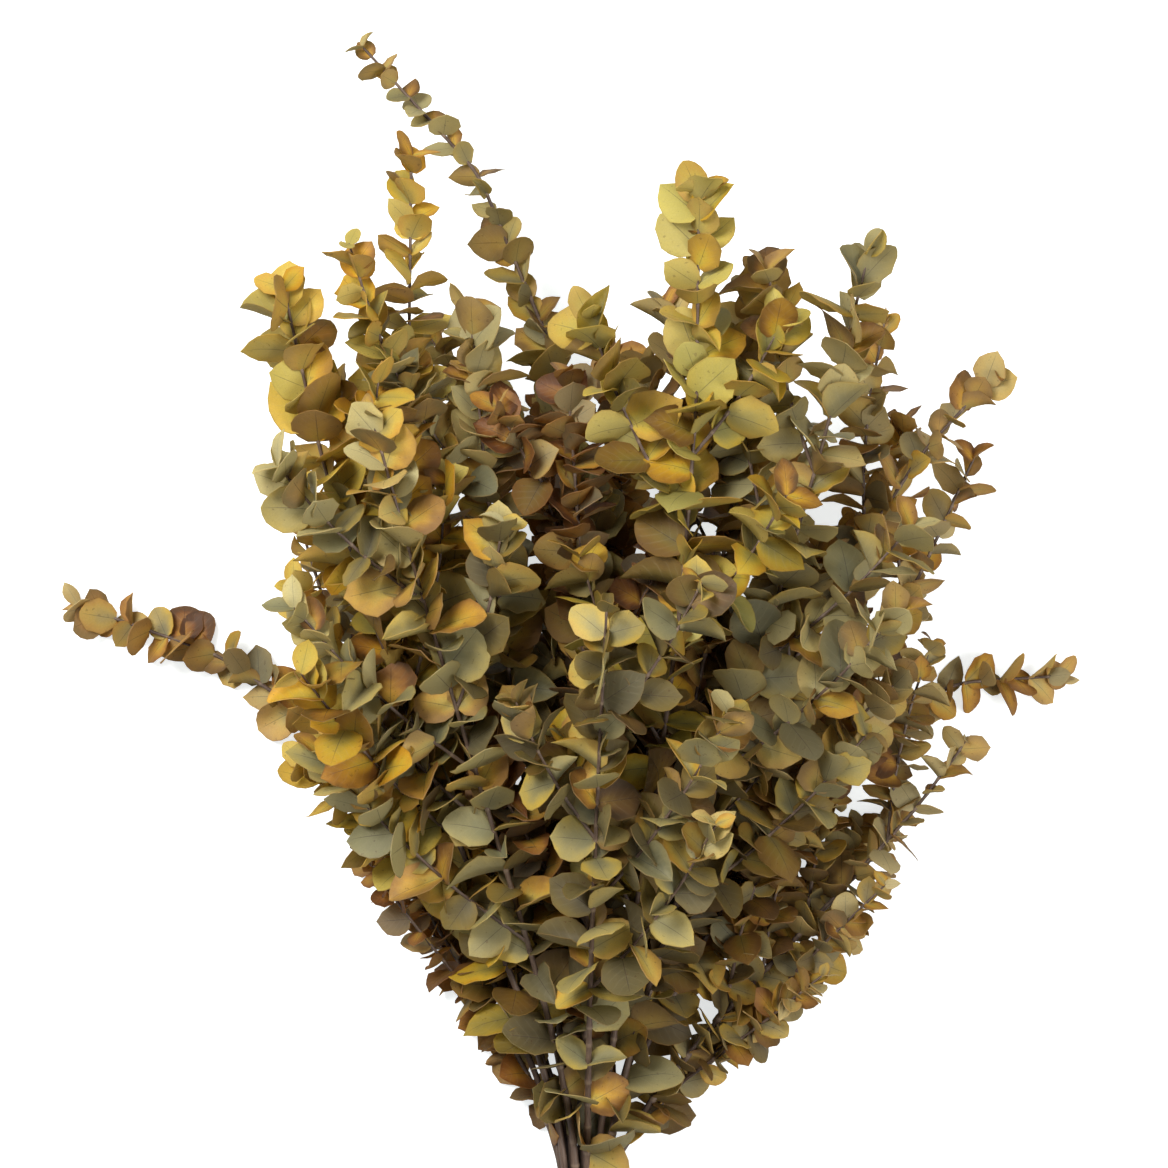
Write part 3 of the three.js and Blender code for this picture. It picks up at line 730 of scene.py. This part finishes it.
def leaf_paint(name, dye, through):
    """The skin of the leaves of one batch, on both sides, with their veins."""
    paint = Paint(name)
    spread = paint.node("ShaderNodeUVMap", {"uv_map": "UVMap"})
    x = paint.node("ShaderNodeSeparateXYZ", {}, {"Vector": spread})
    y = Amount(paint, x.socket.node.outputs["Y"])
    tint = paint.node("ShaderNodeAttribute", {"attribute_name": "tint"}, outlet="Fac")
    pale = paint.node("ShaderNodeAttribute", {"attribute_name": "pale"}, outlet="Fac")
    below = paint.node("ShaderNodeAttribute", {"attribute_name": "below"}, outlet="Fac")
    place = paint.node("ShaderNodeTexCoord", outlet="Object")
    blotches = paint.noise(place, 95.0, 4.0, 0.6)
    fine = paint.noise(place, 900.0, 3.0, 0.6)
    out = abs(x * 2 - 1)

    # The midrib fades towards the tip, and side veins leave it at a slant.
    midrib = (1 - out.step(0.006, 0.03)) * (1 - y.step(0.55, 1.0) * 0.75)
    wander = (blotches - 0.5) * 0.5
    side_vein = abs((y * 8.5 - out * 2.1 + wander).fraction() * 2 - 1)
    side_vein = side_vein.step(0.8, 1.0) * (1 - out.step(0.62, 0.95))
    # Between them a net of small veins.
    net = paint.node(
        "ShaderNodeTexVoronoi", {"feature": "DISTANCE_TO_EDGE"}, {"Vector": place, "Scale": 620.0}
    )
    net = 1 - net.step(0.0, 0.14)

    # A leaf dries from its rim inwards, and stays greenest where it sits on the stem.
    fresh = (1 - out.step(0.0, 0.75)) * (1 - y.step(0.2, 0.85))
    drier = tint + (blotches - 0.5) * 0.42 + out.step(0.5, 1.0) * 0.09 - fresh * 0.3
    colour = paint.node("ShaderNodeValToRGB", {"stops": DRYING}, {"Fac": drier})
    # Leaves of high tone are bleached towards cream, and leaves of low tone darken towards a
    # near-black brown, which in the middle of the bunch is painted shade.
    bleached = (pale - 0.5).step(0.0, 0.5) * (1 - tint.step(0.5, 0.9))
    colour = paint.blend(colour, (0.38, 0.345, 0.175), bleached * 0.72)
    colour = paint.blend(colour, dye, 1.0, "MULTIPLY")
    colour = paint.blend(colour, (0.33, 0.27, 0.125), below * 0.4)
    # Painted shade: this near-black brown darkens the leaves deep in the middle of the bunch, as
    # well as leaves that are dark at random.
    colour = paint.blend(colour, (0.05, 0.031, 0.014), (0.5 - pale).step(0.0, 0.5) * 0.74)
    colour = paint.blend(colour, (0.45, 0.4, 0.26), side_vein * 0.14)
    colour = paint.blend(colour, (0.09, 0.04, 0.015), net * 0.14)
    colour = paint.blend(colour, (0.16, 0.06, 0.015), out.step(0.93, 1.0) * 0.35)
    spots = paint.noise(place, 330.0, 2.0).step(0.66, 0.72)
    colour = paint.blend(colour, (0.1, 0.045, 0.02), spots * 0.4)
    colour = paint.blend(colour, (0.06, 0.042, 0.028), midrib * 0.55)
    colour = paint.blend(colour, (1.12, 1.1, 1.08), fine * 0.3, "MULTIPLY")

    height = fine * 0.35 + midrib * (0.9 - below * 1.6) - side_vein * 0.35 - net * 0.12
    skin = paint.node(
        "ShaderNodeBsdfPrincipled",
        {},
        {
            "Base Color": colour,
            "Roughness": 0.48 + fine * 0.2 + below * 0.12,
            "Specular IOR Level": 0.3,
            "Normal": paint.bump(height, 0.00022, 0.45),
        },
    )
    glow = paint.node("ShaderNodeBsdfTranslucent", {}, {"Color": through})
    share = 0.32 - midrib * 0.18 - spots * 0.12
    mixed = paint.node("ShaderNodeMixShader", {}, {0: share, 1: skin, 2: glow})
    return paint.finish(mixed)


LEAF_ROWS = {
    # shape: for each row from root to tip, how far up the leaf it lies and half its width there
    "round": (
        (0.0, 0.0), (0.04, 0.2), (0.15, 0.39), (0.32, 0.49), (0.52, 0.505), (0.71, 0.44),
        (0.86, 0.31), (0.955, 0.155), (1.0, 0.0),
    ),
    "heart": (
        (0.0, 0.0), (0.04, 0.26), (0.14, 0.43), (0.3, 0.51), (0.48, 0.5), (0.67, 0.41),
        (0.83, 0.26), (0.93, 0.1), (1.0, 0.0),
    ),
    "egg": (
        (0.0, 0.0), (0.05, 0.16), (0.17, 0.33), (0.34, 0.45), (0.52, 0.48), (0.71, 0.405),
        (0.86, 0.24), (0.94, 0.09), (1.0, 0.0),
    ),
    "torn": (
        (0.0, 0.0), (0.04, 0.22), (0.15, 0.4), (0.32, 0.49), (0.51, 0.505), (0.7, 0.455),
        (0.85, 0.33), (0.95, 0.17), (1.0, 0.0),
    ),
}
BLADE_THICKNESS = 0.45


def leaf_blank(shape, rows):
    """A flat leaf of width and length 1, its root at the origin and its tip at y = 1."""
    set_down()
    count = len(rows) - 1
    bpy.ops.mesh.primitive_grid_add(x_subdivisions=4, y_subdivisions=count, size=1)
    blank = bpy.context.object
    blank.name = "leaf_" + shape
    bpy.ops.object.mode_set(mode="EDIT")
    for i, (reach, half) in reversed(list(enumerate(rows))):
        level = i / count - 0.5
        pick(blank, "verts", lambda v: abs(v.co.y - level) < 0.01 and v.co.z == 0)
        bpy.ops.transform.resize(value=(max(half * 2, 0.001), 1, 1), center_override=(0, level, 0))
        # Rows that are done are parked above the others.
        bpy.ops.transform.translate(value=(0, reach - level, 1))
    bpy.ops.mesh.select_all(action="SELECT")
    bpy.ops.transform.translate(value=(0, 0, -1))
    # The base is a shallow heart: its two lobes reach back past the stalk.
    pick(blank, "verts", lambda v: v.co.y < 0.08 and abs(v.co.x) > 0.13)
    bpy.ops.transform.translate(value=(0, -0.035, 0))
    if shape == "torn":
        bpy.ops.mesh.select_all(action="SELECT")
        bpy.ops.mesh.bisect(plane_co=(0.22, 0.8, 0), plane_no=(0.55, 0.84, 0), clear_outer=True)
    bpy.ops.mesh.select_all(action="SELECT")
    bpy.ops.mesh.remove_doubles(threshold=0.002)
    bpy.ops.object.mode_set(mode="OBJECT")
    # Both skins and the rim: one unit thick here, and as thick as a leaf once it is laid in place.
    wall = blank.modifiers.new("wall", "SOLIDIFY")
    wall.thickness = 1
    wall.offset = 0
    bpy.ops.object.modifier_apply(modifier=wall.name)
    bpy.ops.object.shade_smooth_by_angle(angle=math.radians(50))
    return blank


# How a leaf stands at its joint: angles in radians, the rest as shares.
TURN_SPREAD = 1.3
OPENING = 1.38
OPENING_TO_TIP = (1, 0.66)
OPENING_SPREAD = 1.0
PRESSED_SHARE = 0.25
FACE_UP_CHANCE = 0.62
FACE_TILT = (-0.5, 1.5)
FACE_SPREAD = 1.5
LOW_SHARE = 0.4
# The disc that stands for a leaf when places are tested.
DISC_MIDDLE = 0.52
DISC_RADIUS = 0.46
WOOD_ROOM = 0.03


def leaf_at(joint, draw):
    """The leaf that a draw gives at a joint: its direction, its face, and the disc it fills."""
    turn = joint.turn + (draw() - 0.5) * TURN_SPREAD
    angle = OPENING * between(*OPENING_TO_TIP, joint.share) + (draw() - 0.5) * OPENING_SPREAD
    side = unit(cross(joint.way, UP))
    over = cross(side, joint.way)
    out = side * math.cos(turn) + over * math.sin(turn)
    way = out * math.sin(angle) + joint.way * math.cos(angle)
    # A leaf that would reach far under the sheet bends up until its tip only presses on it.
    lowest = -joint.point[2] / joint.length - PRESSED_SHARE
    if way[2] < lowest:
        flat = math.sqrt((1 - lowest * lowest) / (way[0] ** 2 + way[1] ** 2))
        way = np.array((way[0] * flat, way[1] * flat, lowest))
    facing = 1 if draw() < FACE_UP_CHANCE else -1
    turned = between(*FACE_TILT, draw())
    face = joint.way + UP * (facing * turned)
    face[0] += (draw() - 0.5) * FACE_SPREAD
    face[1] += (draw() - 0.5) * FACE_SPREAD
    face = unit(face - way * (face @ way))
    # Near the sheet it turns flat.
    height = joint.point[2] + way[2] * joint.length * DISC_MIDDLE
    low = max(0, 1 - height / (LOW_SHARE * joint.length))
    if low > 0:
        face = face + (UP * facing - face) * low
        face = unit(face - way * (face @ way))
    radius = DISC_RADIUS * joint.length * math.sqrt(joint.width / joint.length)
    centre = joint.point + way * (DISC_MIDDLE * joint.length)
    return SimpleNamespace(**vars(joint), direction=way, face=face, radius=radius, centre=centre)


def is_pierced(leaf):
    """Whether wood runs through a leaf's disc."""
    start = wood_from - leaf.centre
    end = wood_to - leaf.centre
    a = start @ leaf.face
    b = end @ leaf.face
    meets = a * b <= 0
    drop = np.where(a - b == 0, 1, a - b)
    through = start + (end - start) * (a / drop)[:, None]
    far = np.sqrt((through**2).sum(axis=1))
    return bool((meets & (far < leaf.radius + WOOD_ROOM * leaf.length)).any())


def crossed(leaf, count):
    """How much of a leaf's disc lies through those placed before it, as a length."""
    apart = centres[:count] - leaf.centre
    near = (apart**2).sum(axis=1) < (leaf.radius + sizes[:count]) ** 2
    apart, faces_near, sizes_near = apart[near], faces[:count][near], sizes[:count][near]
    slant = faces_near @ leaf.face
    sine = np.sqrt(np.maximum(1 - slant * slant, 1e-6))
    miss_a = (apart * faces_near).sum(axis=1) / sine
    miss_b = (apart @ leaf.face) / sine
    met = (np.abs(miss_a) < leaf.radius) & (np.abs(miss_b) < sizes_near)
    line = np.cross(leaf.face, faces_near[met]) / sine[met][:, None]
    half_a = np.sqrt(leaf.radius**2 - miss_a[met] ** 2)
    half_b = np.sqrt(sizes_near[met] ** 2 - miss_b[met] ** 2)
    overlap = half_a + half_b - np.abs((apart[met] * line).sum(axis=1))
    return float(np.maximum(overlap, 0).sum())


# The top layer, which shows best, is given its leaves first. Each leaf is turned until it is clear
# of those before it, or else stands where it crosses them least: about one in six still does.
# The test takes a leaf for a flat disc. Folded and twisted, three in four of these leaves cross
# another by more than 2 mm.
LEAF_TRIES = 10
LOST_TO_TIP = (0.2, 0.03)
PIERCED_COST = 1000
MOST_LEAVES = 5000
rods = [path for g in grown for path in (g.path, *g.twigs)]
wood_from = np.concatenate([path.points[:-1] for path in rods])
wood_to = np.concatenate([path.points[1:] for path in rods])
centres = np.zeros((MOST_LEAVES, 3))
faces = np.zeros((MOST_LEAVES, 3))
sizes = np.zeros(MOST_LEAVES)
count = 0
for g in reversed(grown):
    g.leaves = []
    for joint in (j for joints in g.joints for j in joints):
        # Low down a stem has lost some of its leaves.
        if g.draw() < between(*LOST_TO_TIP, joint.share):
            continue
        best, best_cost = None, math.inf
        for _ in range(LEAF_TRIES):
            leaf = leaf_at(joint, g.draw)
            cost = (PIERCED_COST if is_pierced(leaf) else 0) + crossed(leaf, count)
            if cost < best_cost:
                best, best_cost = leaf, cost
            if cost == 0:
                break
        if best_cost < PIERCED_COST:
            centres[count], faces[count], sizes[count] = best.centre, best.face, best.radius
            count += 1
            g.leaves.append(best)

# In the three lower layers the wood also bears single leaves between its pairs, which came from
# resting buds. They make the middle of the bunch dense. One stands wherever its flat disc crosses
# the others by less than 8 mm in all. In their dried form four in five cross by more than 2 mm.
TOP_LAYER = 3
BUD_MARGIN = 30
BUD_TRIES = 8
BUD_CROSSING = 8
for g in (g for g in grown if STEMS[g.name][1] < TOP_LAYER):
    draw = seeded_draws(7700 + 31 * g.index)
    for joints in g.joints:
        for one, other in zip(joints, joints[2:]):
            point = (one.point + other.point) / 2
            around = [point + np.array((side, BUD_MARGIN, 0)) for side in (-BUD_MARGIN, BUD_MARGIN)]
            if not all(inside_fan(spot) for spot in around):
                continue
            spot = {"point": point, "turn": one.turn + math.pi / 4}
            bud = SimpleNamespace(**{**vars(one), **spot})
            tries = [leaf_at(bud, draw) for _ in range(BUD_TRIES)]
            costs = [
                (PIERCED_COST if is_pierced(leaf) else 0) + crossed(leaf, count) for leaf in tries
            ]
            if min(costs) < BUD_CROSSING:
                best = tries[int(np.argmin(costs))]
                centres[count], faces[count], sizes[count] = best.centre, best.face, best.radius
                count += 1
                g.leaves.append(best)

# How far up a leaf its twist turns about and its curl begins, and how high it clears the sheet.
TWIST_FROM = 0.3
CURL_FROM = 0.62
LIFT = 0.02
low_corner = np.array(solid_box[0]) * 1000 + MIDDLE
high_corner = np.array(solid_box[1]) * 1000 + MIDDLE


def on_leaf(leaf, flat, form, size):
    """Where the points of the flat blank lie once the leaf has dried into its form."""
    length, width = leaf.length * size, leaf.width * size
    across = cross(leaf.face, leaf.direction)
    x, u, skin = flat[:, 0], flat[:, 1], flat[:, 2]
    sign = np.where(x < 0, -1.0, 1.0)
    q = np.abs(x) * 2
    # Each half stands up from the midrib and curves on towards its rim.
    turn = form.fold + form.cup * q
    cup = form.cup if abs(form.cup) > 1e-3 else 1e-3
    uneven = 1 + form.uneven * np.sin(u * 19 + form.phase * 3 + sign * 1.3)
    reach = (np.sin(turn) - math.sin(form.fold)) / cup * width / 2 * uneven
    rise = (math.cos(form.fold) - np.cos(turn)) / cup * width / 2
    reach = sign * reach
    rise = rise + width * form.wave * q**2 * np.sin(u * form.waves + form.phase + sign)
    # The blade twists along its length, and its tip bends down.
    twist = form.twist * (u - TWIST_FROM)
    aside = reach * np.cos(twist) - rise * np.sin(twist)
    above = reach * np.sin(twist) + rise * np.cos(twist)
    drop = form.arch * u**2 + form.curl * np.maximum(u - CURL_FROM, 0) ** 2
    points = leaf.point + np.outer(u * length, leaf.direction) + np.outer(aside, across)
    points = points + np.outer(above - drop * length, leaf.face)
    lean = sign * turn + twist
    normal = np.outer(np.cos(lean), leaf.face) - np.outer(np.sin(lean), across)
    # Where it meets the sheet it is pressed flat on it.
    points[:, 2] = np.maximum(points[:, 2], BLADE_THICKNESS / 2)
    points = points + normal * (skin * BLADE_THICKNESS)[:, None]
    points[:, 2] = np.maximum(points[:, 2], LIFT)
    return points


SHAPE_SHARES = {"round": 0.4, "heart": 0.3, "egg": 0.22, "torn": 0.08}
TIGHT_CHANCE = 0.19
SMALLEST = 0.5
SIZE_STEP = 0.06
GREEN_CHANCE = 0.12
# Where the painted shade in the middle of the bunch is centred, and how far it reaches along X and
# Y.
SHADE_MIDDLE = (15, -35)
SHADE_REACH = (115, 190)

blanks = {shape: leaf_blank(shape, rows) for shape, rows in LEAF_ROWS.items()}
flats = {shape: seat_of(blank.data) for shape, blank in blanks.items()}
paints = {slot: leaf_paint(slot, dye, through) for slot, (_, _, dye, through) in BATCHES.items()}
for g in grown:
    chance = np.random.default_rng(310 + g.index)
    dryness, spread, *_ = BATCHES[SLOTS[g.name]]
    batch = []
    for leaf in g.leaves:
        shape = chance.choice(tuple(SHAPE_SHARES), p=tuple(SHAPE_SHARES.values()))
        tight = chance.random() < TIGHT_CHANCE
        form = SimpleNamespace(
            fold=chance.uniform(0.4, 1.0) if tight else chance.uniform(-0.04, 0.12),
            cup=chance.normal(0.14, 0.34),
            arch=chance.normal(0.1, 0.1),
            curl=chance.normal(0.05, 0.4),
            twist=chance.normal(0.0, 0.24),
            wave=chance.uniform(0.005, 0.035),
            waves=chance.uniform(9, 17),
            phase=chance.uniform(0, 6.3),
            uneven=chance.uniform(0.0, 0.07),
        )
        size = 1.0
        points = on_leaf(leaf, flats[shape], form, size)
        while size > SMALLEST and ((points < low_corner) | (points > high_corner)).any():
            size -= SIZE_STEP
            points = on_leaf(leaf, flats[shape], form, size)
        blade = blanks[shape].copy()
        blade.data = blanks[shape].data.copy()
        bpy.context.collection.objects.link(blade)
        set_seat(blade.data, points)
        # Its tone varies at random and grows paler towards the tip. Painted shade lowers it for
        # leaves in the middle of the bunch, the more so the lower they lie.
        off_x = (leaf.centre[0] - SHADE_MIDDLE[0]) / SHADE_REACH[0]
        off_y = (leaf.centre[1] - SHADE_MIDDLE[1]) / SHADE_REACH[1]
        # heart is how much painted shade the leaf gets. It is strongest low down in the middle of
        # the bunch.
        heart = math.exp(-(off_x**2) - off_y**2)
        heart *= min(max(1.25 - leaf.centre[2] / 160, 0.55), 1)
        pale = np.clip(chance.uniform(0.18, 1.12) - 0.95 * heart + 0.25 * (leaf.share - 0.4), 0, 1)
        tint = chance.normal(dryness, spread) + 0.2 * (leaf.share - 0.4)
        # Some have gone on to amber and rust ahead of their neighbours, and a few are still green.
        ahead = chance.random()
        if ahead < spread * 1.5:
            tint = max(tint, chance.uniform(0.5, 0.97))
        elif ahead > 1 - GREEN_CHANCE:
            tint = min(tint, chance.uniform(0.05, 0.3))
        attach(blade.data, "tint", np.full(len(points), np.clip(tint, 0, 1)))
        attach(blade.data, "pale", np.full(len(points), pale))
        attach(blade.data, "below", flats[shape][:, 2] < 0)
        batch.append(blade)
    leaves = join(batch, g.name + "_leaves")
    leaves.data.materials.clear()
    leaves.data.materials.append(paints[SLOTS[g.name]])
    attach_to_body(leaves, "root")
    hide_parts(g.name)
for blank in blanks.values():
    bpy.data.objects.remove(blank)

# ------------------------------------------------------------------------------ the elastic band
# One long loop of tan rubber, wound four times round the foot of the bundle, so its strands lie
# side by side and cross a little where they were doubled over.

STRANDS = 4
STRAND_PITCH = 2.17
STRAND_HALF_WIDTH = 0.98
STRAND_SWAY = 0.16
# The round tube that each strand starts as, and the power that squares its section.
TUBE = 0.3
BAR = 0.55

corners = []
for column, layer, *_ in STEMS.values():
    x, z = place_in_bundle(column, layer)
    turns = (np.arange(6) + 0.5) * math.pi / 3
    out_x = STEM_RADII[0] * np.cos(turns)
    out_z = STEM_RADII[0] * np.sin(turns)
    corners.append(np.stack((x + out_x, z + out_z), axis=1))
corners = np.concatenate(corners)
core = corners.mean(axis=0)


def round_bundle(turns, distance):
    """Points round the bundle at a distance outside the stems, at these angles from its core."""
    fine = np.linspace(0, 2 * math.pi, 361)[:-1]
    way = np.stack((np.cos(fine), np.sin(fine)), axis=1)
    reach = (corners @ way.T).max(axis=0) - core @ way.T + distance
    points = []
    for turn in turns:
        ray = np.array((math.cos(turn), math.sin(turn)))
        facing = way @ ray
        points.append(core + ray * (reach[facing > 0.05] / facing[facing > 0.05]).min())
    return np.array(points)


paint = Paint("tan_elastic")
run = paint.node("ShaderNodeAttribute", {"attribute_name": "run"}, outlet="Vector")
place = paint.node("ShaderNodeTexCoord", outlet="Object")
drawn = paint.node("ShaderNodeMapping", {}, {"Vector": run, "Scale": (0.05, 1, 1)})
lines = paint.noise(drawn, 5200.0, 3.0, 0.6)
dust = paint.noise(place, 700.0, 4.0, 0.65)
rubber = paint.blend((0.4, 0.255, 0.12), (0.29, 0.17, 0.075), lines.step(0.35, 0.7))
rubber = paint.blend(rubber, (0.55, 0.42, 0.27), dust.step(0.56, 0.8) * 0.5)
band_gloss = paint.node(
    "ShaderNodeBsdfPrincipled",
    {},
    {
        "Base Color": rubber,
        "Roughness": 0.38 + dust * 0.3,
        "Specular IOR Level": 0.4,
        "Normal": paint.bump(lines + dust * 0.4, 0.0001, 0.35),
    },
)
tan_elastic = paint.finish(band_gloss)

set_down()
bpy.ops.mesh.primitive_torus_add(
    major_segments=96, minor_segments=10, major_radius=1, minor_radius=TUBE
)
ring = bpy.context.object
ring.name = "strand"
round_section = seat_of(ring.data)
turns = np.arctan2(round_section[:, 1], round_section[:, 0])
outward = (np.hypot(round_section[:, 0], round_section[:, 1]) - 1) / TUBE
sideways = round_section[:, 2] / TUBE
strands = []
for k in range(STRANDS):
    copy = ring.copy()
    copy.data = ring.data.copy()
    bpy.context.collection.objects.link(copy)
    # A strand's section is a flat bar with round edges.
    flat_out = np.sign(outward) * np.abs(outward) ** BAR
    flat_side = np.sign(sideways) * np.abs(sideways) ** BAR
    depth = BAND_THICKNESS * (0.5 + 0.47 * flat_out)
    outwards = np.stack((np.cos(turns), np.sin(turns)), axis=1)
    there = round_bundle(turns, BAND_GAP) + outwards * depth[:, None]
    # The two strands in the middle sway most.
    sway = STRAND_SWAY * np.sin(turns * 3 + k * 1.9) * (1 if k in (1, 2) else 0.2)
    y = BAND_Y + (k - 1.5) * STRAND_PITCH + flat_side * STRAND_HALF_WIDTH + sway
    points = np.stack((there[:, 0], y, there[:, 1]), axis=1)
    points[:, 2] = np.maximum(points[:, 2], 0.0)
    set_seat(copy.data, points)
    around = np.stack((turns * 0.014, sideways * 0.001, outward * 0.001), axis=1)
    attach(copy.data, "run", around, "FLOAT_VECTOR")
    strands.append(copy)
bpy.data.objects.remove(ring)
band = join(strands, "elastic_band")
bpy.ops.object.mode_set(mode="EDIT")
bpy.ops.mesh.select_all(action="SELECT")
bpy.ops.mesh.normals_make_consistent(inside=False)
bpy.ops.object.mode_set(mode="OBJECT")
bpy.ops.object.shade_smooth_by_angle(angle=math.radians(60))
band.data.materials.clear()
band.data.materials.append(tan_elastic)
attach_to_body(band, "root")
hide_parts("band")
